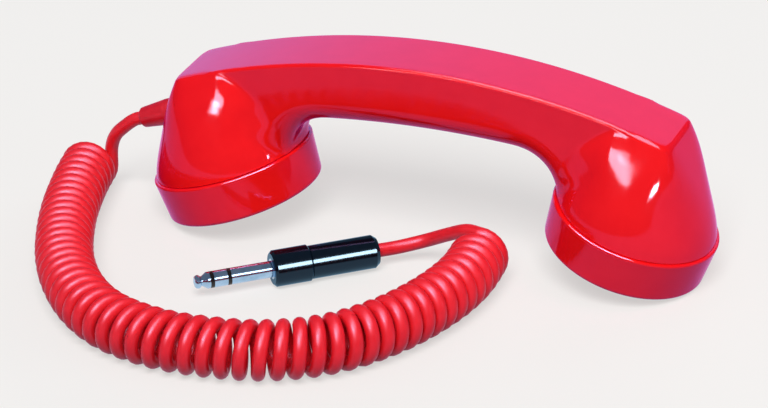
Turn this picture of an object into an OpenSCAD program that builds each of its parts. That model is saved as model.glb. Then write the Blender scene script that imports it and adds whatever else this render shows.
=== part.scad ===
// Corded telephone handset with a curly cord and a 6.35 mm three-pole plug.
// Millimetres, +Z up. X runs along the grip: mouth end at -X, ear end at +X.
// The origin is on the ground, under the middle of the grip.

/* [Handset] */
// Distance between the centres of the two cap faces
face_spacing = 155.4; // [145:0.2:170]
// Lean of each cap's axis from the vertical, in degrees
cap_tilt = 17.5; // [12:0.5:20]
// Height of the top of the grip above the ground
grip_top = 78.5; // [74:0.5:90]
// Radius of the long arc along the top
top_arc_r = 291; // [250:1:400]
// Half the length of the flat top
top_reach = 99.4; // [94:0.2:108]
// Width of the flat top
grip_w = 30; // [26:0.5:36]
// Depth of the grip at its middle
grip_depth = 25.7; // [20:0.1:30]
// Radius of the long arc under the grip
under_arc_r = 420; // [300:5:700]
// Rounding along the top edges
top_edge_r = 1.4; // [0.8:0.1:3]
// Rounding along the bottom edges of the grip
under_edge_r = 9; // [5:0.5:12]
// Fillet under the grip, where it meets the bells
bell_fillet = 22; // [10:0.5:24]
// Fillet where the grip's flat sides meet the bells
side_fillet = 6; // [4:0.5:9]
// How far the flat web under the grip reaches inwards from the axis of each bell
web_reach = 29; // [26:0.2:29.4]

/* [Caps] */
// Radius of each cap at its rim
cap_rim_r = 32.5; // [31.5:0.1:36]
// How much a cap narrows from its rim to its face
cap_draft = 1.2; // [0.4:0.1:2.5]
// Height of each cap
cap_h = 17.3; // [16.5:0.1:22]
// Rounding round the face of each cap
cap_edge_r = 1.8; // [1:0.1:2.4]
// Thickness of the face of each cap
face_t = 3; // [2:0.1:4]
// Width of the flat band round the hollow in each cap's face
face_band = 7.5; // [6:0.1:9]
// Depth of the hollow in each cap's face
dish_depth = 1.2; // [0.5:0.1:1.6]
// Radius of the sound holes
sound_hole_r = 1.25; // [0.8:0.05:1.6]
// Ring pitch of the sound holes
sound_ring = 5; // [4.5:0.1:5.5]
// Visible seam between a bell and its cap
seam = 0.35; // [0.2:0.05:0.8]
// Wall of each cap's threaded skirt, at its rim
cap_wall = 3.8; // [3:0.1:4.5]

/* [Necks] */
// Wall of the threaded neck of each bell
neck_wall = 3; // [2.4:0.1:3.4]
// Length of the neck
neck_h = 10.5; // [9:0.1:11]
// Width of the washer that a cap presses on its capsule
washer_w = 5.2; // [4:0.1:6]
// How deep the straight bore goes above the seam
bore_rise = 4; // [3:0.1:4.5]
// Depth of the cone above the bore
cone_h = 18; // [14:0.5:20]
// Radius at the top of that cone
cone_top_r = 12; // [10:0.5:13]
// Radius of the wire channel through the grip
channel_r = 4.2; // [3:0.1:5]

/* [Receiver] */
// Radius of the receiver's motor
motor_r = 16; // [14:0.5:17]
// Radius of the centre pole
pole_r = 5.9; // [5:0.1:6.5]
// Thickness of the ring magnet
magnet_t = 3; // [2:0.1:3.4]
// Thickness of the yoke and of the pole plate
iron_t = 1.5; // [1:0.1:1.8]
// Width of the magnetic gap
air_gap = 1.5; // [1.2:0.1:2]
// How far the cone moves each way
cone_stroke = 0.35; // [0.1:0.05:0.4]

/* [Microphone] */
// Wall of the rubber holder round the microphone's case
holder_wall = 5.34; // [4.5:0.02:8]
// Depth of the microphone's case
mic_h = 8; // [7:0.1:9]

/* [Cord] */
// Diameter of the cable
cable_d = 5.3; // [4.8:0.1:5.6]
// Diameter of the curly cord over its turns
coil_d = 22.5; // [18:0.5:26]
// Drop of the boot from the level, in degrees
boot_drop = 20.5; // [17:0.5:24]
// Distance up the bell, from its seam, at which the boot leaves it
boot_h = 21.3; // [19:0.1:24]
// Length of the boot outside the bell
boot_len = 14; // [10:0.5:20]
// Diameter of the boot where it leaves the bell
boot_d = 10.4; // [9:0.1:12]
// Diameter of the boot at its free end
boot_end_d = 8.2; // [7:0.1:8.8]

/* [Plug] */
// Diameter of the plug's contacts
plug_d = 6.35; // [6.3:0.05:6.4]
// Length of the sleeve contact outside the collar
sleeve_len = 16.2; // [15:0.1:17]
// Length of the ring contact
ring_len = 5.2; // [4:0.1:6]
// Length of the tip contact
tip_len = 6.1; // [5.5:0.1:7]
// Length of each insulating ring
insulator_len = 1.5; // [1:0.1:2]
// Diameter of the collar
collar_d = 14; // [13.4:0.1:16]
// Length of the collar
collar_len = 14.5; // [12:0.5:18]
// Diameter of the barrel
barrel_d = 12.8; // [12.4:0.1:13.2]
// Length of the barrel
barrel_len = 27; // [25:0.5:32]

/* [Clearances] */
// Running clearance round a screw thread
thread_gap = 0.06; // [0.03:0.01:0.1]
// Clearance at a seat between two moving pieces
seat_gap = 0.15; // [0.1:0.05:0.3]
// Clearance of a piece placed in a bore
slip_gap = 0.3; // [0.1:0.05:0.4]

/* [Hidden] */
$fn = 96;

red = "crimson";
black = "#1c1c1e";
nickel = "silver";
brass = "goldenrod";
steel = "gray";

cap_face_r = cap_rim_r - cap_draft;
joint_x = face_spacing / 2 + cap_h * sin(cap_tilt);
joint_z = (cap_face_r - cap_edge_r) * sin(cap_tilt) + (cap_h - cap_edge_r) * cos(cap_tilt) + cap_edge_r;
bell_inset = 1.3;
bell_r = cap_rim_r - bell_inset;
thread_r = cap_rim_r - cap_wall;
neck_r = thread_r - thread_gap;
bore_r = neck_r - neck_wall;
plate_h = face_t - cap_h;
flange_t = 1.5;
flange_top = -neck_h;
flange_low = flange_top - flange_t;
seat_r = thread_r - 0.9;
washer_lip = 0.4;
front_r = seat_r - washer_w + washer_lip;

// ---- the grip and bells: a smooth form, cut by rays that fan out from under each bell
grip_half = grip_w / 2;
under_z = grip_top - grip_depth;
side_draft = 0.03;
bell_inner_top = 17.2;
bell_outer_power = 1.3;
bell_inner_power = 1.6;
bell_side_power = 1.45;
squareness = 5;
squareness_power = 4;
seam_fillet = 1;
fan_back = 42;
ray_reach = 70;

function rounded_max(a, b, r) =
    let (p = max(a + r, 0), q = max(b + r, 0))
    min(max(a, b), -r) + sqrt(p * p + q * q);
function rounded_min(a, b, r) = -rounded_max(-a, -b, r);
function top_z(x) = grip_top - top_arc_r + sqrt(top_arc_r * top_arc_r - x * x);
// Grows smoothly from 0 to 1 as t passes from a to b
function eased(t, a, b) = let (q = min(max((t - a) / (b - a), 0), 1)) q * q * (3 - 2 * q);
function along_u(x, z) = (x - joint_x) * cos(cap_tilt) - (z - joint_z) * sin(cap_tilt);
function along_h(x, z) = (x - joint_x) * sin(cap_tilt) + (z - joint_z) * cos(cap_tilt);
corner_u = along_u(top_reach, top_z(top_reach));
corner_h = along_h(top_reach, top_z(top_reach));

// Below zero inside the solid, above zero outside
function grip_field(x, y, z) =
    let (side = y - grip_half - side_draft * max(top_z(x) - z, 0),
        under = under_z - x * x / (2 * under_arc_r) - z,
        web = rounded_min(under, -along_u(x, z) - web_reach, bell_fillet))
    max(rounded_max(side, web, under_edge_r), x - joint_x - 2);
function bell_field(x, y, z) =
    let (q = min(max(along_h(x, z) / corner_h, 0), 1),
        outer = bell_r + (corner_u - bell_r) * pow(q, bell_outer_power),
        inner = bell_r + (bell_inner_top - bell_r) * pow(q, bell_inner_power),
        half_y = bell_r + (grip_half - bell_r) * pow(q, bell_side_power),
        half_u = (outer + inner) / 2,
        mid_u = (outer - inner) / 2,
        n = 2 + squareness * pow(q, squareness_power),
        rho = pow(pow(abs(along_u(x, z) - mid_u) / half_u, n) + pow(y / half_y, n), 1 / n))
    (rho - 1) * min(half_u, half_y);
function field(x, y, z) =
    let (ax = abs(x), ay = abs(y), h = along_h(ax, z),
        soft = eased(h, 0, grip_half) * (1 - eased(h / corner_h, 0.55, 1)),
        fillet = seam_fillet + (side_fillet - seam_fillet) * soft)
    rounded_max(rounded_min(grip_field(ax, ay, z), bell_field(ax, ay, z), fillet),
        z - top_z(ax), top_edge_r);

// Distance along a ray at which it leaves the solid
function leaves(org, dir, lo, hi, steps = 18) =
    steps == 0 ? (lo + hi) / 2 :
    let (t = (lo + hi) / 2, p = org + t * dir)
    field(p.x, p.y, p.z) > 0 ? leaves(org, dir, lo, t, steps - 1) : leaves(org, dir, t, hi, steps - 1);

// One closed ring of points in the plane that holds the fan's pivot and dir
function skin_ring(pivot, dir, guess) =
    let (start = pivot + guess * dir,
        out = leaves(start, dir, 0, ray_reach),
        back = leaves(start, -dir, 0, guess),
        mid = start + dir * (out - back) / 2,
        half = (out + back) / 2,
        edge = atan2(grip_half, half),
        turns = concat([for (i = [0:4]) i * (edge - 2) / 4], [edge],
            [for (i = [0:11]) edge + 2 + i * (178 - edge) / 11]),
        side = [for (a = turns)
            let (ray = dir * cos(a) + [0, sin(a), 0])
            mid + ray * leaves(mid, ray, 0, ray_reach)])
    concat([for (p = side) [p.x, -p.y, p.z]], [for (i = [len(side) - 2:-1:1]) side[i]]);

pivot = [joint_x - fan_back * cos(cap_tilt), 0, joint_z + fan_back * sin(cap_tilt)];
corner_turn = atan2(top_z(top_reach) - pivot.z, top_reach - pivot.x);
fan_turns = concat([for (i = [0:7]) -cap_tilt + i * (corner_turn - 2 + cap_tilt) / 7], [corner_turn],
    [for (i = [0:9]) corner_turn + 2 + i * (88 - corner_turn) / 9]);
mid_steps = 5;

function half_skin() = concat(
    [for (a = fan_turns)
        let (share = (a + cap_tilt) / (90 + cap_tilt),
            guess = fan_back + share * ((grip_top + under_z) / 2 - pivot.z - fan_back))
        skin_ring(pivot, [cos(a), 0, sin(a)], guess)],
    [for (i = [1:mid_steps])
        skin_ring([pivot.x * (1 - i / mid_steps), 0, pivot.z], [0, 0, 1],
            (grip_top + under_z) / 2 - pivot.z)]);
function mirrored(ring) = [for (p = ring) [-p.x, p.y, p.z]];

// Skins a list of equal closed rings, with flat ends
module skinned(rings) {
    n = len(rings[0]);
    m = len(rings);
    points = [for (ring = rings) for (p = ring) p];
    walls = [for (i = [0:m - 2]) for (j = [0:n - 1])
        let (k = (j + 1) % n, a = i * n)
        each [[a + j, a + k, a + n + k], [a + j, a + n + k, a + n + j]]];
    ends = [[for (j = [n - 1:-1:0]) j], [for (j = [0:n - 1]) (m - 1) * n + j]];
    polyhedron(points, concat(ends, walls));
}

// ---- places at the two ends: side is -1 at the mouth, 1 at the ear
function at_end(side, u, y, h) = [side * (joint_x + u * cos(cap_tilt) + h * sin(cap_tilt)), y,
    joint_z - u * sin(cap_tilt) + h * cos(cap_tilt)];
module ear_end() {
    translate([joint_x, 0, joint_z])
    rotate([0, cap_tilt, 0])
    children();
}
module mouth_end() {
    mirror([1, 0, 0])
    ear_end()
    children();
}

// A ring or disc: radii from r0 to r1, heights from h0 to h1
module ring(r0, r1, h0, h1) {
    translate([0, 0, min(h0, h1)])
    difference() {
        cylinder(r = r1, h = abs(h1 - h0));
        if (r0 > 0) translate([0, 0, -1]) cylinder(r = r0, h = abs(h1 - h0) + 2);
    }
}
module turned(profile) {
    rotate_extrude() polygon(profile);
}
function arc(c, r, a0, a1, n = 6) =
    [for (i = [0:n]) let (a = a0 + i * (a1 - a0) / n) c + r * [cos(a), sin(a)]];

// ---- one cap: skirt, rounded face and hollowed speaking face
rim_r = 0.8;
dish_r = cap_face_r - cap_edge_r - face_band;
module cap_body() {
    turned(concat(
        [[0, plate_h], [thread_r, plate_h], [thread_r, -seam]],
        arc([cap_rim_r - rim_r, -seam - rim_r], rim_r, 90, 0, 4),
        arc([cap_face_r - cap_edge_r, cap_edge_r - cap_h], cap_edge_r, 0, -90),
        [[dish_r + 1, -cap_h], [dish_r, -cap_h + 0.3]],
        [for (i = [4:-1:0]) [dish_r * i / 5, -cap_h + dish_depth - (dish_depth - 0.3) * pow(i / 5, 2)]]));
}
module sound_holes(rings, first = 0) {
    for (k = [first:rings])
        for (i = [0:max(6 * k, 1) - 1])
            rotate(i * 60 / max(k, 1))
            translate([k * sound_ring, 0, -cap_h - 1])
            cylinder(r = sound_hole_r, h = face_t + 2, $fn = 24);
}

module ear_cap() {
    color(red) ear_end() difference() {
        cap_body();
        sound_holes(2);
    }
}
module mouth_cap() {
    color(red) mouth_end() difference() {
        cap_body();
        sound_holes(3, 1);
    }
}

// ---- sealing washer between a cap and the capsule behind it
module cap_washer() {
    ring(seat_r - washer_w, seat_r, plate_h + seat_gap, flange_low - seat_gap);
}
module ear_washer() {
    color(black) ear_end() cap_washer();
}
module mouth_washer() {
    color(black) mouth_end() cap_washer();
}

// ---- wire channel: an arc through the grip, met by a shaft above each cone
channel_r0 = 376;
channel_mid_z = grip_top - grip_depth / 2;
from_middle = [joint_x, joint_z - channel_mid_z + channel_r0];
lean = [sin(cap_tilt), cos(cap_tilt)];
along_lean = from_middle * lean;
shaft_top = sqrt(pow(along_lean, 2) - from_middle * from_middle + pow(channel_r0, 2)) - along_lean;
channel_end = asin((joint_x + shaft_top * sin(cap_tilt)) / channel_r0);
module along_channel(r, offset_y, half_angle) {
    translate([0, offset_y, channel_mid_z - channel_r0])
    rotate([90, 0, 0])
    rotate(90 - half_angle)
    rotate_extrude(angle = 2 * half_angle)
    translate([channel_r0, 0])
    circle(r = r, $fn = 32);
}
module bell_cavity() {
    translate([0, 0, -neck_h - 1]) cylinder(r = bore_r, h = neck_h + 1 + bore_rise);
    translate([0, 0, bore_rise - 0.01]) cylinder(r1 = bore_r - 1.6, r2 = cone_top_r, h = cone_h);
    translate([0, 0, bore_rise + cone_h - 1])
        cylinder(r = channel_r + 0.6, h = shaft_top - cone_h - bore_rise + 2);
}
module neck() {
    ring(bore_r - 2, neck_r, -neck_h, 0.5);
}

// ---- boot frame: Z runs outwards along the boot, from where it leaves the bell
cable_r = cable_d / 2;
boot_wall = 4;
boot_hole_r = boot_d / 2 + 0.05;
boot_flange_r = boot_hole_r + 1.2;
boot_flange_t = 2;
boot_reach = 15;
boot_inner = boot_wall + boot_flange_t;
clamp_len = 4;
jacket_end = boot_inner + clamp_len;
boot_u = bell_r + (corner_u - bell_r) * pow(boot_h / corner_h, bell_outer_power);
boot_at = at_end(-1, boot_u, 0, boot_h);
function from_boot(d) = boot_at - [d * cos(boot_drop), 0, d * sin(boot_drop)];
module boot_frame() {
    translate(boot_at)
    rotate([0, -90 - boot_drop, 0])
    children();
}

module handle_shell() {
    half = half_skin();
    last = len(half) - 1;
    color(red) difference() {
        union() {
            skinned(concat(half, [for (i = [last - 1:-1:0]) mirrored(half[i])]));
            ear_end() neck();
            mouth_end() neck();
        }
        ear_end() bell_cavity();
        mouth_end() bell_cavity();
        along_channel(channel_r, 0, channel_end);
        boot_frame() {
            translate([0, 0, -boot_wall - 1]) cylinder(r = boot_hole_r, h = boot_wall + boot_reach);
            translate([0, 0, -boot_wall - 10]) cylinder(r = boot_flange_r + 0.4, h = 10);
        }
    }
}

// ---- receiver: a small moving-coil loudspeaker in a pot
pot_r = bore_r - slip_gap;
pot_back = bore_rise - 1;
yoke_low = pot_back - 1.5;
magnet_top = yoke_low - iron_t;
pole_plate_top = magnet_top - magnet_t;
pole_low = pole_plate_top - iron_t;
coil_r = pole_r + air_gap / 2;
cone_seat = pole_low - 4.2;
cone_ledge = cone_seat + cone_stroke + seat_gap;
cone_rim_r = front_r - 1.6;
cover_t = 1;

module receiver_frame() {
    color(black) ear_end() difference() {
        union() {
            ring(0, pot_r, flange_top, pot_back);
            ring(0, seat_r - 0.1, flange_low, flange_top);
        }
        translate([0, 0, flange_low - 1]) cylinder(r = front_r, h = cover_t + 1.05);
        translate([0, 0, flange_low]) cylinder(r = front_r - 1, h = cone_ledge - flange_low);
        translate([0, 0, cone_seat - 1]) cylinder(r = motor_r + 1.5, h = yoke_low - cone_seat + 1);
        translate([0, 0, cone_ledge - 0.01]) cylinder(r1 = front_r - 3, r2 = motor_r + 1.5, h = 4.5);
        translate([0, 0, yoke_low - 1]) cylinder(r = 2, h = 6);
    }
}
module receiver_cover() {
    hole_ring = 9;
    hole_r = 2.2;
    color(steel) ear_end() difference() {
        ring(0, front_r - 0.1, flange_low, flange_low + cover_t);
        for (k = [0:1]) for (i = [0:6 * k])
            rotate(i * 60)
            translate([k * hole_ring, 0, flange_low - 1])
            cylinder(r = hole_r, h = cover_t + 2, $fn = 32);
    }
}
module receiver_cone() {
    t = 0.4;
    neck = coil_r + 0.6;
    color("dimgray") ear_end() turned(concat(
        [[cone_rim_r, cone_seat], [cone_rim_r, cone_seat - t]],
        [[cone_rim_r - 1.6, cone_seat - t - 0.2], [neck, pole_low - 1.6], [neck - 0.6, pole_low - 1.6]],
        [[0, pole_low - 2.8], [0, pole_low - 2.8 + t], [neck - 0.6, pole_low - 1.6 + t]],
        [[neck, pole_low - 1.6 + t], [cone_rim_r - 1.6, cone_seat - 0.2]]));
}
module receiver_voice_coil() {
    color(brass) ear_end() ring(coil_r - 0.35, coil_r + 0.35, pole_low - 1.6 + 0.4, magnet_top - 1.6);
}
module receiver_magnet() {
    color(steel) ear_end() ring(pole_r + air_gap + 1.6, motor_r - 1, pole_plate_top, magnet_top);
}
module receiver_pole_plate() {
    color(nickel) ear_end() ring(pole_r + air_gap, motor_r, pole_low, pole_plate_top);
}
module receiver_yoke() {
    color(nickel) ear_end() union() {
        ring(0, motor_r, magnet_top, yoke_low);
        ring(0, pole_r, pole_low, magnet_top + 0.1);
    }
}

// ---- terminal strips with their screws
strip_t = 1.6;
screw_r = 2;
screw_t = 1.6;
module receiver_terminal_strip() {
    color("saddlebrown") ear_end() translate([-9, -4, pot_back]) cube([18, 8, strip_t]);
}
module terminal_screw() {
    difference() {
        cylinder(r = screw_r, h = screw_t, $fn = 32);
        translate([-0.3, -screw_r - 1, screw_t - 0.6]) cube([0.6, 2 * screw_r + 2, 1]);
    }
}
module receiver_screws() {
    color(brass) ear_end() for (x = [-6, 6])
        translate([x, 0, pot_back + strip_t]) terminal_screw();
}

// ---- microphone: a perforated can in a rubber holder
mic_r = pot_r - holder_wall;
mic_front = flange_low + 0.6;
mic_back = mic_front + mic_h;
mic_lead = 2.5;
module mic_holder() {
    color(black) mouth_end() difference() {
        union() {
            ring(0, pot_r, flange_top, mic_back + 1.6);
            ring(0, seat_r - 0.1, flange_low, flange_top);
        }
        translate([0, 0, flange_low - 1]) cylinder(r = mic_r + 0.05, h = mic_h + 1.6);
        translate([0, 0, mic_back - 1]) cylinder(r = 5, h = 6);
        for (i = [0:5]) rotate(i * 60 + 30)
            translate([pot_r - holder_wall / 2, 0, flange_top + 2])
            cylinder(r = holder_wall / 4, h = mic_h, $fn = 24);
    }
}
module mic_case() {
    color(nickel) mouth_end() difference() {
        ring(0, mic_r, mic_front, mic_back);
        translate([0, 0, mic_front - 1]) cylinder(r = mic_r - 0.8, h = mic_h);
        for (x = [-mic_lead, mic_lead])
            translate([x, 0, mic_back - 2]) cylinder(r = 0.8, h = 3, $fn = 24);
    }
}
module mic_grille() {
    color(nickel) mouth_end() difference() {
        ring(0, mic_r - 0.85, mic_front, mic_front + 0.8);
        for (k = [0:3]) for (i = [0:max(6 * k, 1) - 1])
            rotate(i * 60 / max(k, 1))
            translate([k * mic_r / 5, 0, mic_front - 1]) cylinder(r = 1, h = 3, $fn = 24);
    }
}
module mic_diaphragm() {
    t = 0.3;
    low = mic_front + 1.2;
    edge = mic_r - 0.85;
    dome = edge * 0.6;
    foot = edge * 0.75;
    top = low + 0.8;
    color(brass) mouth_end() turned([[0, top], [dome, top], [foot, low], [edge, low],
        [edge, low + t], [foot + t, low + t], [dome + t, top + t], [0, top + t]]);
}
module mic_backplate() {
    low = mic_front + 3;
    color(steel) mouth_end() difference() {
        ring(0, mic_r - 0.85, low, low + 1.5);
        for (i = [0:7]) rotate(i * 45)
            translate([mic_r / 2, 0, low - 1]) cylinder(r = 1.2, h = 4, $fn = 24);
    }
}
board_h = mic_back + 1.6;
post_x = 8;
post_y = 4;
board_x = 2 * post_x + 8;
board_y = 2 * post_y + 6;
module terminal_board() {
    color("saddlebrown") mouth_end() difference() {
        translate([-board_x / 2, -board_y / 2, board_h]) cube([board_x, board_y, strip_t]);
        translate([0, 0, board_h - 1]) cylinder(r = 3.5, h = 5, $fn = 32);
    }
}
module terminal_screws() {
    color(brass) mouth_end() for (x = [-post_x, post_x], y = [-post_y, post_y])
        translate([x, y, board_h + strip_t]) terminal_screw();
}

// ---- tubes swept along a path
function tangent(path, i) =
    let (a = path[max(i - 1, 0)], b = path[min(i + 1, len(path) - 1)])
    (b - a) / norm(b - a);
function tube_ring(path, i, r, sides, turn, across) =
    let (t = tangent(path, i),
        u = cross(t, across) / norm(cross(t, across)),
        v = cross(t, u))
    [for (j = [0:sides - 1]) let (a = 360 * (j + turn) / sides) path[i] + r * (u * cos(a) + v * sin(a))];
// A smooth curve through the points of a route
function bend(p, i, t) =
    let (a = p[max(i - 1, 0)], b = p[i], c = p[i + 1], d = p[min(i + 2, len(p) - 1)])
    0.5 * (2 * b + (c - a) * t + (2 * a - 5 * b + 4 * c - d) * t * t + (3 * b - a - 3 * c + d) * t * t * t);
function smooth(p, n) =
    concat([for (i = [0:len(p) - 2]) for (k = [0:n - 1]) bend(p, i, k / n)], [p[len(p) - 1]]);
module tube(path, r, across = [0, 1, 0], sides = 8, turn = 0.5) {
    skinned([for (i = [0:len(path) - 1]) tube_ring(path, i, r, sides, turn, across)]);
}

// ---- wires that stay inside the handset
wire_r = 0.6;
screw_top = strip_t + screw_t;
function on_channel(y, angle) =
    [channel_r0 * sin(angle), y, channel_mid_z + channel_r0 * (cos(angle) - 1)];
post_gap = 1.2;
post_top = board_h + screw_top;
wire_end = 1.6;
// The last stretch of a wire stands square on its screw
function to_post(u, y) = [at_end(-1, u, y, post_top + wire_end), at_end(-1, u, y, post_top)];
strip_top = pot_back + screw_top;
function to_strip(u) = [at_end(1, u, 0, strip_top + wire_end), at_end(1, u, 0, strip_top)];
function upside(p) = [p[1], p[0]];
module ear_wire(side, u) {
    y = side * 1.6;
    tube(concat(upside(to_post(post_x - post_gap, side * post_y)), [at_end(-1, 2, y, shaft_top - 8)],
        [for (i = [-8:8]) on_channel(y, i / 8 * (channel_end - 1.2))],
        [at_end(1, 2, y, shaft_top - 8)], to_strip(u)), wire_r);
}
module ear_wire_signal() {
    color("white") ear_wire(1, 6);
}
module ear_wire_ground() {
    color("black") ear_wire(-1, -6);
}
module mic_wires() {
    color("green") for (side = [-1, 1])
        tube(concat([at_end(-1, mic_lead * side, 0, mic_back), at_end(-1, 2.3 * side, 0, post_top),
            at_end(-1, -3, side * 2.4, post_top + 2.4)],
            to_post(post_gap - post_x, side * post_y)), wire_r);
}
// The cord's four cores, from the end of its jacket to their screws
core_side = 0.8;
function core_start(side, up) = [for (d = [0, 1.5])
    from_boot(-jacket_end - d) + core_side * [-up * sin(boot_drop), side, up * cos(boot_drop)]];
module core(start, end, spread) {
    tube(concat(start, [0.75 * start[1] + 0.25 * end[0] + [0, spread, 0]], end), wire_r);
}
module cord_cores() {
    color("blue") for (side = [-1, 1]) {
        core(core_start(side, -1), to_post(post_x + post_gap, side * post_y), side * 1.4);
        core(core_start(side, 1), to_post(-post_x - post_gap, side * post_y), -side * core_side);
    }
}

// ---- boot, cord clamp and the cord itself
boot_seat = 2;
module cord_boot() {
    color(red) boot_frame() turned(concat(
        [[cable_r, -boot_inner], [boot_flange_r, -boot_inner], [boot_flange_r, -boot_wall]],
        [[boot_d / 2, -boot_wall], [boot_d / 2, boot_seat]],
        arc([boot_end_d / 2 - 1, boot_len - 1], 1, 0, 90, 4),
        [[cable_r, boot_len]]));
}
module cord_clamp() {
    color(nickel) boot_frame() ring(cable_r, cable_r + 1.5, -jacket_end, -boot_inner);
}

coil_z = coil_d / 2;
mean_r = (coil_d - cable_d) / 2;
coil_route = [[-146, 2, coil_z], [-141, -20, coil_z], [-132, -48, coil_z], [-118, -78, coil_z],
    [-101, -101, coil_z], [-82, -116, coil_z], [-60, -123, coil_z], [-38, -123, coil_z],
    [-16, -118, coil_z], [3, -106, coil_z], [17, -87, coil_z], [26, -65, coil_z], [30, -43, coil_z],
    [29, -22, coil_z]];
lead_route = [from_boot(boot_len), from_boot(boot_len + 4), [-129, 0, 30.5], [-134, 0.5, 25.5],
    [-136.8, 1.2, 19.5], [-137.4, 1.8, coil_z]];

module cord_lead() {
    color(red) tube(concat([from_boot(-jacket_end)], smooth(lead_route, 2)), cable_r);
}
module curly_cord() {
    color(red) tube(smooth(coil_route, 2), coil_d / 2, [0, 0, 1], 12, 0);
}

// ---- plug frame: Z runs towards the tip, from the front of the collar
plug_yaw = 219.9;
plug_at = [-44, -52.9];
plug_z = collar_d / 2;
module plug_frame() {
    translate([plug_at.x, plug_at.y, plug_z])
    rotate([0, 90, plug_yaw])
    children();
}
function on_plug(d) = [plug_at.x + d * cos(plug_yaw), plug_at.y + d * sin(plug_yaw), plug_z];
ring_start = sleeve_len + insulator_len;
tip_start = ring_start + ring_len + insulator_len;
plug_r = plug_d / 2;
core_gap = 0.02;
rod_r = 1;
tube_1 = 1.4;
tube_2 = 1.85;
tube_3 = 2.3;
boss_r = 5;
boss_len = 9;
boss_end = -collar_len - boss_len;
shoulder_in = 1;
shoulder_r = plug_r + 0.75;
jacket_start = boss_end - 8;
barrel_back = 2.2;
barrel_bore = boss_r + thread_gap;
barrel_end = -collar_len - barrel_len;
tail_route = [on_plug(barrel_end - 9), [3, -17, 8.6], [11.5, -16.5, 12.8], [20, -19, 17.6],
    [29, -22, coil_z + mean_r]];

module plug_tip() {
    color(nickel) plug_frame() union() {
        turned(concat([[0, tip_start], [plug_r, tip_start], [plug_r, tip_start + 1]],
            [[1.9, tip_start + 2.9], [1.9, tip_start + 3.3]],
            arc([1.2, tip_start + 4.5], 1.4, -45, 60, 5),
            [[0, tip_start + tip_len]]));
        ring(0, rod_r, boss_end - 5, tip_start + 0.1);
    }
}
module plug_insulator_front() {
    color(black) plug_frame() union() {
        ring(rod_r + core_gap, tube_1, boss_end - 3.6, tip_start);
        ring(rod_r + core_gap, plug_r, tip_start - insulator_len, tip_start);
    }
}
module plug_ring() {
    color(nickel) plug_frame() union() {
        ring(tube_1 + core_gap, tube_2, boss_end - 2.2, tip_start - insulator_len);
        ring(tube_1 + core_gap, plug_r, ring_start, tip_start - insulator_len);
    }
}
module plug_insulator_rear() {
    color(black) plug_frame() union() {
        ring(tube_2 + core_gap, tube_3, boss_end - 1, ring_start);
        ring(tube_2 + core_gap, plug_r, sleeve_len, ring_start);
    }
}
module plug_sleeve() {
    color(nickel) plug_frame() union() {
        ring(tube_3 + core_gap, plug_r, -0.1, sleeve_len);
        ring(tube_3 + core_gap, shoulder_r, -shoulder_in - 0.1, 0);
        ring(tube_3 + core_gap, boss_r, boss_end, -shoulder_in);
    }
}
module plug_collar() {
    r = collar_d / 2;
    bore = shoulder_r + core_gap;
    color(black) plug_frame() difference() {
        turned([[bore, 0], [r - 1, 0], [r, -1], [r, 0.3 - collar_len],
            [r - 0.3, -collar_len], [bore, -collar_len]]);
        translate([0, 0, -collar_len - 1])
            cylinder(r = boss_r + core_gap, h = collar_len + 1 - shoulder_in + core_gap);
    }
}
module plug_tags() {
    color(brass) plug_frame() {
        ring(rod_r + core_gap, 2.2, boss_end - 4.6, boss_end - 4);
        translate([1.5, -0.8, boss_end - 7]) cube([0.6, 1.6, 2.7]);
        ring(tube_2 + core_gap, 3, boss_end - 1.9, boss_end - 1.3);
        translate([-2.9, -0.8, boss_end - 6]) cube([0.6, 1.6, 4.4]);
    }
}
module plug_cord_clamp() {
    color(nickel) plug_frame() ring(cable_r, cable_r + 1.1, barrel_end + 3, jacket_start);
}
module plug_liner() {
    low = barrel_end + barrel_back + seat_gap;
    color("ivory") plug_frame() ring(barrel_bore - 0.95, barrel_bore - 0.15, low, boss_end - seat_gap);
}
module plug_barrel() {
    r = barrel_d / 2;
    low = barrel_end;
    high = -collar_len - seat_gap;
    hole = cable_r + 0.4;
    color(black) plug_frame() turned([[barrel_bore, high], [r - 0.3, high], [r, high - 0.3],
        [r, low + 1.6], [r - 1.2, low], [hole, low], [hole, low + barrel_back],
        [barrel_bore, low + barrel_back]]);
}
module cord_tail() {
    start = [on_plug(jacket_start), on_plug(barrel_end)];
    color(red) tube(concat(start, smooth(tail_route, 3)), cable_r, [0, 0, 1]);
}

handle_shell();
ear_cap();
ear_washer();
receiver_frame();
receiver_cover();
receiver_cone();
receiver_voice_coil();
receiver_magnet();
receiver_pole_plate();
receiver_yoke();
receiver_terminal_strip();
receiver_screws();
mouth_cap();
mouth_washer();
mic_holder();
mic_case();
mic_grille();
mic_diaphragm();
mic_backplate();
terminal_board();
terminal_screws();
ear_wire_signal();
ear_wire_ground();
mic_wires();
cord_cores();
cord_boot();
cord_clamp();
cord_lead();
curly_cord();
cord_tail();
plug_tip();
plug_ring();
plug_sleeve();
plug_insulator_front();
plug_insulator_rear();
plug_collar();
plug_tags();
plug_cord_clamp();
plug_liner();
plug_barrel();
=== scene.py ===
import math
import bpy
import numpy as np
from mathutils import Matrix, Vector


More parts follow.
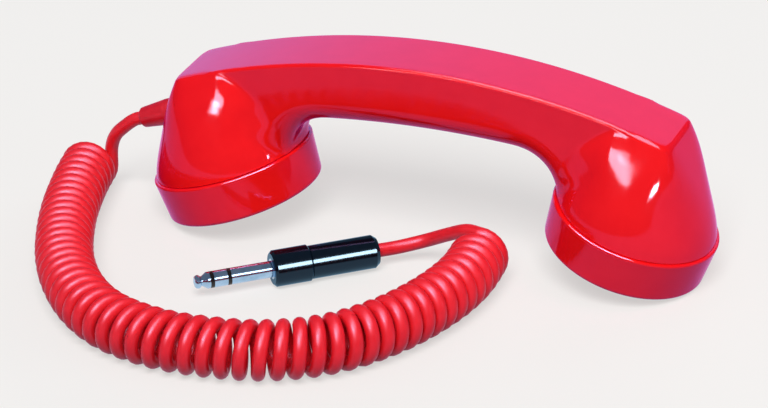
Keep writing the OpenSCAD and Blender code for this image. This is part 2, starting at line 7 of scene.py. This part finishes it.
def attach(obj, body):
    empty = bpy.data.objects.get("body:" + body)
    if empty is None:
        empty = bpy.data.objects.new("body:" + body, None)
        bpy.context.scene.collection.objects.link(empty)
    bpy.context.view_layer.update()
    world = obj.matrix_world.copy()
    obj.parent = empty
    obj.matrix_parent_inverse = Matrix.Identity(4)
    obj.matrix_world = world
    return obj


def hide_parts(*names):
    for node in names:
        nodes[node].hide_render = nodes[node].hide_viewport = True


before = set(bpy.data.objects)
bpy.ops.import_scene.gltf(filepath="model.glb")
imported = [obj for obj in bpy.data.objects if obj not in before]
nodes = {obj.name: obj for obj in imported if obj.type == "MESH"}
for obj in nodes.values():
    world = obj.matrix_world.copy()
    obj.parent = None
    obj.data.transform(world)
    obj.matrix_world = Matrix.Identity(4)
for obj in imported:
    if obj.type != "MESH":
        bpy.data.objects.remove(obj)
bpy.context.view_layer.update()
scene = bpy.context.scene
mm = 0.001  # lengths in the dictionaries below are in millimetres, and turns in degrees


def link(obj):
    scene.collection.objects.link(obj)
    return obj


view = dict(place=(436.7, -1089.9, 601.9), yaw=22.713, pitch=26.484, roll=-1.79,
            lens=160.4, sensor=36, near=50, far=20000)


def addCamera():
    yaw, pitch, roll = (math.radians(view[k]) for k in ("yaw", "pitch", "roll"))
    flat = math.cos(pitch)
    ahead = Vector((-math.sin(yaw) * flat, math.cos(yaw) * flat, -math.sin(pitch)))
    level = Vector((math.cos(yaw), math.sin(yaw), 0))
    upright = level.cross(ahead)
    right = math.cos(roll) * level + math.sin(roll) * upright
    up = math.cos(roll) * upright - math.sin(roll) * level
    data = bpy.data.cameras.new("camera")
    data.lens = view["lens"]
    data.sensor_width = view["sensor"]
    data.clip_start = view["near"] * mm
    data.clip_end = view["far"] * mm
    cam = link(bpy.data.objects.new("camera", data))
    turn = Matrix((right, up, -ahead)).transposed().to_4x4()
    cam.matrix_world = Matrix.Translation(Vector(view["place"]) * mm) @ turn
    scene.camera = cam


addCamera()
print("camera placed")

# every finish has two tones in patches, a drifting roughness and a fine grain, and some machined lines
drift = dict(roughPatch=0.4, roughDetail=5, toneDetail=3, grainDetail=2, noiseFrom=0.3, noiseTo=0.7,
             toneFrom=0.35, toneTo=0.65)


def linear(rgb):
    return tuple(c / 12.92 if c <= 0.04045 else ((c + 0.055) / 1.055) ** 2.4 for c in rgb)


def noise(tree, coords, size, detail):
    tex = tree.nodes.new("ShaderNodeTexNoise")
    tex.inputs["Scale"].default_value = 1 / size
    tex.inputs["Detail"].default_value = detail
    tree.links.new(coords, tex.inputs["Vector"])
    return tex.outputs["Fac"]


def lineWaves(tree, coords, pitch, depth, turn, kind="BANDS", along="X", distort=0.0):
    # straight lines across an axis or rings round it, turned with the part that carries them
    mapping = tree.nodes.new("ShaderNodeMapping")
    mapping.vector_type = "TEXTURE"
    mapping.inputs["Rotation"].default_value = turn
    tree.links.new(coords, mapping.inputs["Vector"])
    tex = tree.nodes.new("ShaderNodeTexWave")
    tex.wave_type = kind
    if kind == "BANDS":
        tex.bands_direction = along
    else:
        tex.rings_direction = along
    tex.inputs["Scale"].default_value = math.pi / 10 / (pitch * mm)
    tex.inputs["Distortion"].default_value = distort
    tree.links.new(mapping.outputs["Vector"], tex.inputs["Vector"])
    return tex.outputs["Fac"], depth * mm


def ranged(tree, value, low, high):
    node = tree.nodes.new("ShaderNodeMapRange")
    node.inputs["From Min"].default_value = drift["noiseFrom"]
    node.inputs["From Max"].default_value = drift["noiseTo"]
    node.inputs["To Min"].default_value = low
    node.inputs["To Max"].default_value = high
    tree.links.new(value, node.inputs["Value"])
    return node.outputs["Result"]


def blended(tree, value, dark, light):
    ramp = tree.nodes.new("ShaderNodeValToRGB")
    first, last = ramp.color_ramp.elements
    first.position, last.position = drift["toneFrom"], drift["toneTo"]
    first.color, last.color = (*linear(dark), 1), (*linear(light), 1)
    tree.links.new(value, ramp.inputs["Fac"])
    return ramp.outputs["Color"]


def bumped(tree, shader, value, depth, under=None):
    bump = tree.nodes.new("ShaderNodeBump")
    bump.inputs["Distance"].default_value = depth
    bump.inputs["Strength"].default_value = 1.0
    tree.links.new(value, bump.inputs["Height"])
    if under:
        tree.links.new(under, bump.inputs["Normal"])
    tree.links.new(bump.outputs["Normal"], shader.inputs["Normal"])
    return bump.outputs["Normal"]


def finish(name, dark, light, rough, patch, grain, depth, metallic=0.0, ior=1.5, glossTint=(1, 1, 1),
           coat=0.0, coatRough=0.03, coatTint=(1, 1, 1), coatIor=1.5,
           sheen=0.0, sheenTint=(1, 1, 1), sheenRough=0.3, lines=None):
    mat = bpy.data.materials.new(name)
    mat.use_nodes = True
    tree = mat.node_tree
    shader = tree.nodes["Principled BSDF"]
    coords = tree.nodes.new("ShaderNodeTexCoord").outputs["Object"]
    tones = noise(tree, coords, patch * mm, drift["toneDetail"])
    tree.links.new(blended(tree, tones, dark, light), shader.inputs["Base Color"])
    spread = noise(tree, coords, patch * mm * drift["roughPatch"], drift["roughDetail"])
    tree.links.new(ranged(tree, spread, rough[0], rough[1]), shader.inputs["Roughness"])
    shader.inputs["Metallic"].default_value = metallic
    shader.inputs["IOR"].default_value = ior
    shader.inputs["Specular Tint"].default_value = (*glossTint, 1)
    shader.inputs["Coat Weight"].default_value = coat
    shader.inputs["Coat Roughness"].default_value = coatRough
    shader.inputs["Coat IOR"].default_value = coatIor
    shader.inputs["Coat Tint"].default_value = (*coatTint, 1)
    shader.inputs["Sheen Weight"].default_value = sheen
    shader.inputs["Sheen Roughness"].default_value = sheenRough
    shader.inputs["Sheen Tint"].default_value = (*sheenTint, 1)
    normal = bumped(tree, shader, noise(tree, coords, grain * mm, drift["grainDetail"]), depth * mm)
    if lines:
        bumped(tree, shader, *lineWaves(tree, coords, **lines), under=normal)
    return mat


def wireFinish(name, dark, light):
    return finish(name, dark, light, (0.35, 0.48), patch=2.5, grain=0.2, depth=0.008)


lean = math.radians(17.5)  # of each bell's axis from upright
plugYaw = math.radians(219.9)
earTurn = (0, lean, 0)
mouthTurn = (0, -lean, 0)
plugTurn = (0, 0, plugYaw)

# the thin tinted coats, bluish gloss tints and blue sheen are a painted cool reflection: they give the
# glossy red parts violet edges where they turn away, and bluer reflections
shellRed = finish("shell_red", (0.915, 0.13, 0.085), (0.93, 0.145, 0.095), (0.06, 0.09),
                  patch=9, grain=1.3, depth=0.0012, ior=1.4, glossTint=(0.7, 0.9, 1.4),
                  coat=1.0, coatRough=0.08, coatTint=(1.0, 0.5, 0.92), coatIor=1.05,
                  sheen=0.12, sheenTint=(0.3, 0.1, 1.0), sheenRough=0.3)
cordRed = finish("cord_red", (0.87, 0.12, 0.14), (0.9, 0.15, 0.165), (0.32, 0.42),
                 patch=6, grain=0.35, depth=0.006, glossTint=(0.9, 0.8, 1.0),
                 coat=1.0, coatRough=0.3, coatTint=(1.0, 0.8, 0.95), coatIor=1.05)
bootRed = finish("boot_red", (0.78, 0.09, 0.12), (0.82, 0.11, 0.14), (0.3, 0.4),
                 patch=3, grain=0.5, depth=0.004,
                 coat=1.0, coatRough=0.3, coatTint=(1.0, 0.7, 0.95), coatIor=1.05)
# the bluish gloss and coat tints of the black plug body are a painted cool reflection
blackGloss = finish("black_gloss", (0.02, 0.03, 0.05), (0.03, 0.045, 0.07), (0.1, 0.16),
                    patch=3, grain=0.5, depth=0.003, glossTint=(0.8, 1.0, 1.3),
                    coat=1.0, coatRough=0.08, coatTint=(0.6, 0.85, 1.0), coatIor=1.05)
blackMoulding = finish("black_moulding", (0.05, 0.05, 0.055), (0.08, 0.08, 0.085), (0.4, 0.52),
                       patch=3, grain=0.25, depth=0.02)
insulator = finish("insulating_ring", (0.03, 0.03, 0.035), (0.06, 0.06, 0.065), (0.3, 0.42),
                   patch=1.2, grain=0.15, depth=0.006)
rubber = finish("washer_rubber", (0.07, 0.07, 0.07), (0.11, 0.105, 0.1), (0.6, 0.75),
                patch=3, grain=0.2, depth=0.03)
paper = finish("cone_paper", (0.17, 0.16, 0.15), (0.25, 0.235, 0.215), (0.75, 0.9),
               patch=1.5, grain=0.12, depth=0.05)
ferrite = finish("ferrite", (0.13, 0.13, 0.135), (0.19, 0.19, 0.195), (0.5, 0.65),
                 patch=1.5, grain=0.1, depth=0.03, metallic=0.3)
zincSteel = finish("zinc_steel", (0.6, 0.61, 0.63), (0.7, 0.71, 0.72), (0.24, 0.36),
                   patch=2, grain=0.12, depth=0.008, metallic=1.0,
                   lines=dict(pitch=0.3, turn=earTurn, kind="RINGS", along="Z", depth=0.004))
# the nickel's bluish tone is a painted cool reflection on the plug's contacts
nickel = finish("nickel", (0.62, 0.76, 0.88), (0.7, 0.83, 0.95), (0.13, 0.2),
                patch=4, grain=0.12, depth=0.002, metallic=1.0,
                lines=dict(pitch=0.22, turn=plugTurn, along="X", distort=0.6, depth=0.0012))
canNickel = finish("can_nickel", (0.68, 0.68, 0.69), (0.76, 0.76, 0.75), (0.2, 0.3),
                   patch=2, grain=0.12, depth=0.006, metallic=1.0,
                   lines=dict(pitch=0.3, turn=mouthTurn, kind="RINGS", along="Z", depth=0.003))
brass = finish("brass", (0.72, 0.56, 0.28), (0.8, 0.64, 0.35), (0.22, 0.34),
               patch=1.5, grain=0.1, depth=0.006, metallic=1.0)
winding = finish("copper_winding", (0.55, 0.26, 0.12), (0.68, 0.36, 0.18), (0.25, 0.35),
                 patch=1, grain=0.1, depth=0.004, metallic=0.9,
                 lines=dict(pitch=0.16, turn=earTurn, along="Z", depth=0.05))
laminate = finish("laminate", (0.36, 0.23, 0.12), (0.47, 0.31, 0.17), (0.4, 0.5),
                  patch=1.2, grain=0.2, depth=0.01,
                  lines=dict(pitch=0.35, turn=mouthTurn, along="X", distort=1.5, depth=0.01))
liner = finish("fibre_liner", (0.78, 0.74, 0.62), (0.86, 0.83, 0.72), (0.5, 0.62),
               patch=2, grain=0.2, depth=0.02)

dressed = {
    shellRed: ["handle_shell", "ear_cap", "mouth_cap"],
    bootRed: ["cord_boot"],
    cordRed: ["cord_lead", "curly_cord", "cord_tail"],
    blackGloss: ["plug_collar", "plug_barrel"],
    blackMoulding: ["receiver_frame", "mic_holder"],
    insulator: ["plug_insulator_front", "plug_insulator_rear"],
    rubber: ["ear_washer", "mouth_washer"],
    paper: ["receiver_cone"],
    ferrite: ["receiver_magnet"],
    zincSteel: ["receiver_cover", "receiver_pole_plate", "receiver_yoke", "mic_backplate"],
    nickel: ["plug_tip", "plug_ring", "plug_sleeve", "plug_cord_clamp", "cord_clamp"],
    canNickel: ["mic_case", "mic_grille"],
    brass: ["receiver_screws", "terminal_screws", "plug_tags", "mic_diaphragm"],
    winding: ["receiver_voice_coil"],
    laminate: ["terminal_board", "receiver_terminal_strip"],
    liner: ["plug_liner"],
    wireFinish("wire_white", (0.82, 0.81, 0.78), (0.9, 0.89, 0.86)): ["ear_wire_signal"],
    wireFinish("wire_black", (0.05, 0.05, 0.055), (0.09, 0.09, 0.095)): ["ear_wire_ground"],
    wireFinish("wire_green", (0.06, 0.36, 0.16), (0.1, 0.44, 0.21)): ["mic_wires"],
    wireFinish("wire_blue", (0.08, 0.2, 0.5), (0.12, 0.27, 0.58)): ["cord_cores"],
}
for mat, names in dressed.items():
    for name in names:
        mesh = nodes[name].data
        mesh.materials.clear()
        mesh.materials.append(mat)
print("materials:", len(dressed), "on", sum(len(names) for names in dressed.values()), "nodes")

# the coil's route on the floor, the same points as in the part's source, and how it leaves the bell
coil = dict(z=11.25, mean=8.6, turns=52.75, perTurn=24, endGap=2.0, routeSteps=40, samples=4000,
            spacing=[(0, 0.95), (0.3, 0.96), (0.42, 1.05), (0.62, 1.07), (0.75, 1.0), (1, 0.95)],
            route=[(-146, 2), (-141, -20), (-132, -48), (-118, -78), (-101, -101), (-82, -116),
                   (-60, -123), (-38, -123), (-16, -118), (3, -106), (17, -87), (26, -65),
                   (30, -43), (29, -22)])
boot = dict(at=(-107.647, 0, 39.985), drop=20.5, length=14)
plug = dict(at=(-44, -52.9), z=7.0)
wire = dict(radius=2.65, length=3000, sides=6, replaced=("cord_lead", "curly_cord", "cord_tail"),
            fromBoot=[-8, 0, 14, 18], leadSteps=6,
            leadBends=[(-128.6, 0, 30.6), (-133.6, 0.6, 25.6), (-136.6, 1.8, 19.2)],
            tailBends=[(22.5, -21.5, 18.9), (13.5, -18.3, 14.2), (4, -16.6, 9.3)],
            onPlug=[-50.5, -41.5, -32], tailSteps=8)


def throughPoints(points, steps):
    # a smooth line through all the points, with so many steps from each to the next
    p = np.array(points, float)
    p = np.vstack([p[:1], p, p[-1:]])
    out = []
    for i in range(1, len(p) - 2):
        a, b, c, d = p[i - 1:i + 3]
        for t in np.arange(steps) / steps:
            out.append(0.5 * (2 * b + (c - a) * t + (2 * a - 5 * b + 4 * c - d) * t ** 2
                              + (3 * b - a - 3 * c + d) * t ** 3))
    out.append(p[-1])
    return np.array(out)


def fromBoot(d):
    drop = math.radians(boot["drop"])
    return np.array(boot["at"]) - d * np.array([math.cos(drop), 0, math.sin(drop)])


def onPlug(d):
    x, y = plug["at"]
    return np.array([x + d * math.cos(plugYaw), y + d * math.sin(plugYaw), plug["z"]])


def coilTurns():
    # turns lie closer where the spacing is lower, and go round the route's middle line
    line = throughPoints(coil["route"], coil["routeSteps"])
    run = np.concatenate([[0], np.cumsum(np.linalg.norm(np.diff(line, axis=0), axis=1))])
    start, end = coil["endGap"], run[-1] - coil["endGap"]
    s = np.linspace(start, end, coil["samples"])
    places, gaps = zip(*coil["spacing"])
    pitch = np.interp((s - start) / (end - start), places, gaps)
    turned = np.concatenate([[0], np.cumsum(1 / pitch)])[:-1]
    turned *= coil["turns"] / turned[-1]
    phase = np.linspace(0, coil["turns"], int(coil["turns"] * coil["perTurn"]) + 1)
    along = np.interp(phase, turned, s)
    centre = np.stack([np.interp(along, run, line[:, k]) for k in (0, 1)], 1)
    ahead = np.stack([np.interp(along + 1, run, line[:, k]) - np.interp(along - 1, run, line[:, k])
                      for k in (0, 1)], 1)
    ahead /= np.linalg.norm(ahead, axis=1)[:, None]
    inner = np.stack([-ahead[:, 1], ahead[:, 0]], 1)
    angle = 2 * math.pi * phase
    spot = centre + coil["mean"] * np.cos(angle)[:, None] * inner
    height = coil["z"] - coil["mean"] * np.sin(angle)
    return np.column_stack([spot, height])


def addCord():
    turns = coilTurns()
    lead = throughPoints([fromBoot(d) for d in wire["fromBoot"]] + wire["leadBends"] + [turns[0]],
                         wire["leadSteps"])
    tail = throughPoints([turns[-1]] + wire["tailBends"] + [onPlug(d) for d in wire["onPlug"]],
                         wire["tailSteps"])
    path = np.vstack([lead[:-1], turns, tail[1:]]) * mm
    data = bpy.data.curves.new("curly_cable", "CURVE")
    data.dimensions = "3D"
    data.bevel_depth = wire["radius"] * mm
    data.bevel_resolution = wire["sides"]
    data.use_fill_caps = True
    spline = data.splines.new("POLY")
    spline.points.add(len(path) - 1)
    spline.points.foreach_set("co", np.column_stack([path, np.ones(len(path))]).ravel())
    spline.use_smooth = True
    data.materials.append(cordRed)
    cable = link(bpy.data.objects.new("curly_cable", data))
    length = float(np.linalg.norm(np.diff(path, axis=0), axis=1).sum())
    print("cord: points", len(path), "length", round(length, 4))
    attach(cable, "handset")
    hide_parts(*wire["replaced"])
    return cable


cable = addCord()

# the handle's outer skin is one formula, as in the part's source: a grip, two bells and a flat web
grip = dict(top=78.5, topArc=291.0, reach=99.4, half=15.0, depth=25.7, underArc=420.0,
            topEdge=1.4, underEdge=9.0, draft=0.03, pastBell=2)
bell = dict(x=82.902, z=25.453, r=31.2, fillet=22.0, sideFillet=6.0, seamFillet=1.0, web=29.0,
            innerTop=17.2, outer=1.3, inner=1.6, side=1.45, squareness=5.0, squarePower=4.0,
            fan=42.0, fadeFrom=0.55)
neck = dict(seat=30.95, seatDrop=-0.02, shoulder=29, crest=28.6, root=27.8, rootDrop=-0.05, h=10.5,
            pitch=2.4, step=0.3, fade=1.2, bore=25.64, lip=0.2, rise=4.0, ledge=1.6, cone=18.0,
            coneTop=12.0, shaft=4.8, shaftTop=31.0, shut=0.4)
# how finely the skin is read: rings along the bell, over its top corner, over the web and along the
# grip, then points round each ring, close together at the corner between its top and its side
fine = dict(bellRings=34, cornerRings=9, webRings=44, gripRings=17, cornerGap=3, cornerSpan=2.4,
            topPoints=9, edgePoints=11, sidePoints=37, edgeGap=4, edgeSpan=3.2, lastTurn=176,
            halvings=34, ringReach=60, pointReach=70, sharp=50)


def roundedMax(a, b, r):
    return np.minimum(np.maximum(a, b), -r) + np.hypot(np.maximum(a + r, 0), np.maximum(b + r, 0))


def eased(t, a, b):
    q = np.clip((t - a) / (b - a), 0, 1)
    return q * q * (3 - 2 * q)


def topHeight(x):
    return grip["top"] - grip["topArc"] + np.sqrt(grip["topArc"] ** 2 - x * x)


def onBell(x, z):
    # across the bell's axis and up along it, from the middle of its seam
    dx, dz = x - bell["x"], z - bell["z"]
    return dx * math.cos(lean) - dz * math.sin(lean), dx * math.sin(lean) + dz * math.cos(lean)


cornerU, cornerH = onBell(grip["reach"], topHeight(np.float64(grip["reach"])))


def outside(p):
    # below zero inside the skin and above zero outside it; both halves of the handle are alike
    x, y, z = np.abs(p[..., 0]), np.abs(p[..., 1]), p[..., 2]
    over = z - topHeight(x)
    side = y - grip["half"] - grip["draft"] * np.maximum(-over, 0)
    under = grip["top"] - grip["depth"] - x * x / (2 * grip["underArc"]) - z
    u, h = onBell(x, z)
    web = -roundedMax(-under, u + bell["web"], bell["fillet"])
    bar = np.maximum(roundedMax(side, web, grip["underEdge"]), x - bell["x"] - grip["pastBell"])
    q = np.clip(h / cornerH, 0, 1)
    outer = bell["r"] + (cornerU - bell["r"]) * q ** bell["outer"]
    inner = bell["r"] + (bell["innerTop"] - bell["r"]) * q ** bell["inner"]
    halfY = bell["r"] + (grip["half"] - bell["r"]) * q ** bell["side"]
    halfU, midU = (outer + inner) / 2, (outer - inner) / 2
    n = 2 + bell["squareness"] * q ** bell["squarePower"]
    rho = ((np.abs(u - midU) / halfU) ** n + (y / halfY) ** n) ** (1 / n)
    cup = (rho - 1) * np.minimum(halfU, halfY)
    soft = eased(h, 0, grip["half"]) * (1 - eased(q, bell["fadeFrom"], 1))
    fillet = bell["seamFillet"] + (bell["sideFillet"] - bell["seamFillet"]) * soft
    joined = -roundedMax(-bar, -cup, fillet)
    return roundedMax(joined, over, grip["topEdge"])


def leaves(start, ray, high):
    # how far each ray goes before it leaves the skin
    low = np.zeros(start.shape[:-1])
    high = np.broadcast_to(np.asarray(high, float), low.shape).copy()
    for _ in range(fine["halvings"]):
        half = (low + high) / 2
        past = outside(start + half[..., None] * ray) > 0
        high = np.where(past, half, high)
        low = np.where(past, low, half)
    return (low + high) / 2


def skinRings():
    # rays fan out from a pivot beside each bell, and stand upright along the grip
    inwards, lift = bell["fan"] * math.cos(lean), bell["fan"] * math.sin(lean)
    pivot = np.array([bell["x"] - inwards, 0, bell["z"] + lift])
    tilt = math.degrees(lean)
    rise = topHeight(np.float64(grip["reach"])) - pivot[2]
    corner = math.degrees(math.atan2(rise, grip["reach"] - pivot[0]))
    gap, span = fine["cornerGap"], fine["cornerSpan"]
    fan = np.concatenate([np.linspace(-tilt, corner - gap, fine["bellRings"]),
                          corner + np.linspace(-span, span, fine["cornerRings"]),
                          np.linspace(corner + gap, 90, fine["webRings"])])
    middle = (grip["top"] - grip["depth"] / 2) - pivot[2]
    guess = bell["fan"] + (fan + tilt) / (90 + tilt) * (middle - bell["fan"])
    rays = np.stack([np.cos(np.radians(fan)), 0 * fan, np.sin(np.radians(fan))], 1)
    starts = pivot + guess[:, None] * rays
    centre = np.linspace(pivot[0], 0, fine["gripRings"])[1:]
    rays = np.vstack([rays, np.tile([0.0, 0, 1], (len(centre), 1))])
    starts = np.vstack([starts, np.stack([centre, 0 * centre, 0 * centre + pivot[2] + middle], 1)])
    guess = np.concatenate([guess, np.full(len(centre), middle)])
    out = leaves(starts, rays, fine["ringReach"])
    back = leaves(starts, -rays, guess)
    mid = starts + rays * ((out - back) / 2)[:, None]
    edge = np.degrees(np.arctan2(grip["half"], (out + back) / 2))[:, None]
    gap, span = fine["edgeGap"], fine["edgeSpan"]
    onTop = np.linspace(0, 1, fine["topPoints"])[:-1] * (edge - gap)
    atEdge = edge + np.linspace(-span, span, fine["edgePoints"])
    downSide = edge + gap + np.linspace(0, 1, fine["sidePoints"]) * (fine["lastTurn"] - edge)
    turns = np.radians(np.hstack([onTop, atEdge, downSide]))
    across = np.array([0, 1.0, 0])
    ray = rays[:, None, :] * np.cos(turns)[..., None] + across * np.sin(turns)[..., None]
    base = np.repeat(mid[:, None, :], turns.shape[1], axis=1)
    front = base + ray * leaves(base, ray, fine["pointReach"])[..., None]
    mirrored = front * [1, -1, 1]
    return np.concatenate([mirrored, front[:, -2:0:-1]], axis=1)


def neckRings(seamRing):
    # the seam's ring carried inwards: shoulder, screw thread, bore and cone
    u, _ = onBell(seamRing[:, 0], seamRing[:, 2])
    angle = np.arctan2(seamRing[:, 1], u)
    root, depth, step = neck["root"], neck["h"], neck["step"]
    rings = [(neck["seat"], neck["seatDrop"]), (neck["shoulder"], 0), (root, neck["rootDrop"])]
    for h in np.arange(step, depth - step, step):
        wave = 0.5 + 0.5 * np.cos(angle - 2 * math.pi * h / neck["pitch"])
        fade = min(1, h / neck["fade"], (depth - h) / neck["fade"])
        rings.append((root + (neck["crest"] - root) * wave * fade, -h))
    bore, rise, lip = neck["bore"], neck["rise"], neck["lip"]
    coneEnd, shaft, shaftTop = rise + neck["cone"], neck["shaft"], neck["shaftTop"]
    rings += [(root, -depth + step), (root - step, -depth), (bore + lip, -depth), (bore, -depth + lip),
              (bore, rise), (bore - neck["ledge"], rise), (neck["coneTop"], coneEnd), (shaft, coneEnd),
              (shaft, shaftTop), (neck["shut"], shaftTop)]
    out = []
    for r, h in rings:
        ru = r * np.cos(angle)
        x = bell["x"] + ru * math.cos(lean) + h * math.sin(lean)
        z = bell["z"] - ru * math.sin(lean) + h * math.cos(lean)
        out.append(np.column_stack([x, r * np.sin(angle), z]))
    return np.array(out[::-1])


def addHandle():
    skin = skinRings()
    half = np.concatenate([neckRings(skin[0]), skin])
    rings = np.concatenate([half, half[-2::-1] * [-1, 1, 1]])
    count, around = rings.shape[:2]
    i, j = np.meshgrid(np.arange(count - 1), np.arange(around), indexing="ij")
    k = (j + 1) % around
    here, there = i * around, (i + 1) * around
    faces = np.stack([here + j, here + k, there + k, there + j], -1).reshape(-1, 4)
    ends = [list(range(around))[::-1], list(range((count - 1) * around, count * around))]
    mesh = bpy.data.meshes.new("handle_skin")
    mesh.from_pydata((rings.reshape(-1, 3) * mm).tolist(), [], faces.tolist() + ends)
    mesh.update()
    onTop = [face for face in mesh.polygons if face.center.z > 0.9 * grip["top"] * mm]
    if sum(face.normal.z * face.area for face in onTop) < 0:
        mesh.flip_normals()
    mesh.shade_smooth()
    mesh.set_sharp_from_angle(angle=math.radians(fine["sharp"]))
    mesh.materials.append(shellRed)
    handle = link(bpy.data.objects.new("handle_skin", mesh))
    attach(handle, "handset")
    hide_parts("handle_shell")
    print("handle:", len(mesh.polygons), "faces")
    return handle


handle = addHandle()

# the floor shows a plain pale tone, sends a darker, cooler one up to the parts and keeps their shadow
floor = dict(reach=4000, tone=(0.87, 0.86, 0.845), bounce=(0.12, 0.14, 0.3), glow=0.66, rough=0.9)
studio = dict(tone=(0.84, 0.86, 1.0), level=0.22)


def addFloor():
    reach = floor["reach"] * mm
    mesh = bpy.data.meshes.new("floor")
    corners = [(-reach, -reach, 0), (reach, -reach, 0), (reach, reach, 0), (-reach, reach, 0)]
    mesh.from_pydata(corners, [], [(0, 1, 2, 3)])
    mat = bpy.data.materials.new("floor_paper")
    mat.use_nodes = True
    tree = mat.node_tree
    shader = tree.nodes["Principled BSDF"]
    rays = tree.nodes.new("ShaderNodeLightPath")
    seen = rays.outputs["Is Camera Ray"]
    for kind in ("Is Glossy Ray", "Is Transmission Ray"):
        add = tree.nodes.new("ShaderNodeMath")
        add.operation = "ADD"
        add.use_clamp = True
        tree.links.new(seen, add.inputs[0])
        tree.links.new(rays.outputs[kind], add.inputs[1])
        seen = add.outputs[0]
    tone = tree.nodes.new("ShaderNodeMix")
    tone.data_type = "RGBA"
    tone.inputs["A"].default_value = (*floor["bounce"], 1)
    tone.inputs["B"].default_value = (*floor["tone"], 1)
    tree.links.new(seen, tone.inputs["Factor"])
    tree.links.new(tone.outputs["Result"], shader.inputs["Base Color"])
    shader.inputs["Roughness"].default_value = floor["rough"]
    shader.inputs["Specular IOR Level"].default_value = 0.0
    glow = tree.nodes.new("ShaderNodeEmission")
    glow.inputs["Color"].default_value = (*floor["tone"], 1)
    share = tree.nodes.new("ShaderNodeMath")
    share.operation = "MULTIPLY"
    share.inputs[1].default_value = floor["glow"]
    tree.links.new(seen, share.inputs[0])
    mix = tree.nodes.new("ShaderNodeMixShader")
    tree.links.new(share.outputs[0], mix.inputs["Fac"])
    tree.links.new(shader.outputs["BSDF"], mix.inputs[1])
    tree.links.new(glow.outputs["Emission"], mix.inputs[2])
    tree.links.new(mix.outputs["Shader"], tree.nodes["Material Output"].inputs["Surface"])
    mesh.materials.append(mat)
    link(bpy.data.objects.new("floor", mesh))


def addWorld():
    world = bpy.data.worlds.new("studio")
    scene.world = world
    world.use_nodes = True
    back = world.node_tree.nodes["Background"]
    back.inputs["Color"].default_value = (*studio["tone"], 1)
    back.inputs["Strength"].default_value = studio["level"]


def litBy(name, pieces):
    group = bpy.data.collections.new(name)
    for piece in pieces:
        group.objects.link(piece)
    return group


addFloor()
addWorld()
shell = litBy("lit_shell", [handle, nodes["ear_cap"], nodes["mouth_cap"]])
caps = litBy("lit_caps", [nodes["ear_cap"], nodes["mouth_cap"]])
cordAndBoot = litBy("lit_cord", [cable, nodes["cord_boot"]])
plugBody = litBy("lit_black", [nodes["plug_collar"], nodes["plug_barrel"]])
plugShaft = litBy("lit_metal", [nodes[name] for name in ("plug_tip", "plug_ring", "plug_sleeve")])

# each lamp stands off a point that it faces: bearing is from -Y towards +X, height is above level
glint = dict(away=60, tint=(0.65, 1, 0.48), spread=30, on=shell)
lamps = dict(
    key=dict(aim=(0, 0, 30), bearing=18, height=52, away=5000, size=(2800, 2600), level=1.1,
             tint=(1, 0.985, 0.965), seen="matt"),
    backFill=dict(aim=(0, 0, 40), bearing=172, height=12, away=2400, size=(2600, 1400), level=0.45,
                  tint=(0.95, 0.985, 0.965), seen="matt"),
    side=dict(aim=(95, 0, 40), bearing=85, height=14, away=2000, size=(1000, 500), level=0.15,
              seen="matt"),
    frontCord=dict(aim=(0, -60, 20), bearing=-14, height=52, away=2600, size=(1500, 1400), level=2.0,
                   on=cordAndBoot),
    overCord=dict(aim=(0, -60, 20), bearing=60, height=80, away=1600, size=(900, 900), level=1.0,
                  on=cordAndBoot),
    overShell=dict(aim=(0, 0, 50), bearing=22, height=86, away=1600, size=(1200, 1200), level=3.4,
                   tint=(0.7, 1, 0.5), on=shell),
    overCaps=dict(aim=(0, 0, 20), bearing=10, height=72, away=1600, size=(1600, 1400), level=12.0,
                  tint=(0.75, 1, 0.6), on=caps),
    softBox=dict(aim=(0, -15, 60), bearing=-13, height=25, away=2000, size=(1000, 230), level=0.62,
                 tint=glint["tint"], on=shell),
    rear=dict(aim=(0, 0, 70), bearing=205, height=20, away=1700, size=(2800, 1800), level=0.9,
              tint=(0.1, 1.0, 0.9), on=shell),
    glintLeft=dict(glint, aim=(-78, -20, 56), bearing=-17.5, height=20, size=(42, 8.5), level=0.06),
    glintLeftLow=dict(glint, aim=(-59.4, -17.7, 35.5), bearing=78.5, height=11.5, away=200,
                      size=(20, 15), level=0.005),
    glintRight=dict(glint, aim=(84.6, -19.4, 57.6), bearing=-5, height=28, size=(12.1, 7.1),
                    level=0.004),
    glintRightLow=dict(glint, aim=(96.5, -21.7, 46.7), bearing=33, height=9, size=(15, 8.6),
                       level=0.055),
    plugStrip=dict(aim=(-10, -30, 10), bearing=57, height=27, away=800, size=(300, 300), level=1.9,
                   tint=(1, 0.85, 0.7), on=plugBody),
    shaftStrip=dict(aim=(-40, -50, 8), bearing=57, height=29, away=800, size=(300, 200), level=0.18,
                    tint=(1, 0.95, 0.9), on=plugShaft),
)


def addLamp(name, aim, bearing, height, away, size, level, tint=(1, 1, 1), spread=180, seen="gloss",
            on=None):
    # level is the light on a sheet that faces the lamp, where 1 shows a colour as written
    # a matt lamp lights without a reflection, a gloss lamp is only a reflection on its own pieces
    a, e = math.radians(bearing), math.radians(height)
    ray = Vector((math.sin(a) * math.cos(e), -math.cos(a) * math.cos(e), math.sin(e)))
    data = bpy.data.lights.new(name, "AREA")
    data.shape = "RECTANGLE"
    data.size, data.size_y = (side * mm for side in size)
    data.energy = level * math.pi * math.pi * (away * mm) ** 2
    data.color = tint
    data.spread = math.radians(spread)
    lamp = link(bpy.data.objects.new(name, data))
    lamp.location = (Vector(aim) + ray * away) * mm
    lamp.rotation_euler = (-ray).to_track_quat("-Z", "Y").to_euler()
    lamp.visible_camera = False
    lamp.visible_diffuse = seen == "matt"
    lamp.visible_glossy = seen == "gloss"
    if on:
        lamp.light_linking.receiver_collection = on


for name, lamp in lamps.items():
    addLamp(name, **lamp)
print("floor, world and", len(lamps), "lamps")

scene.view_settings.view_transform = "Standard"
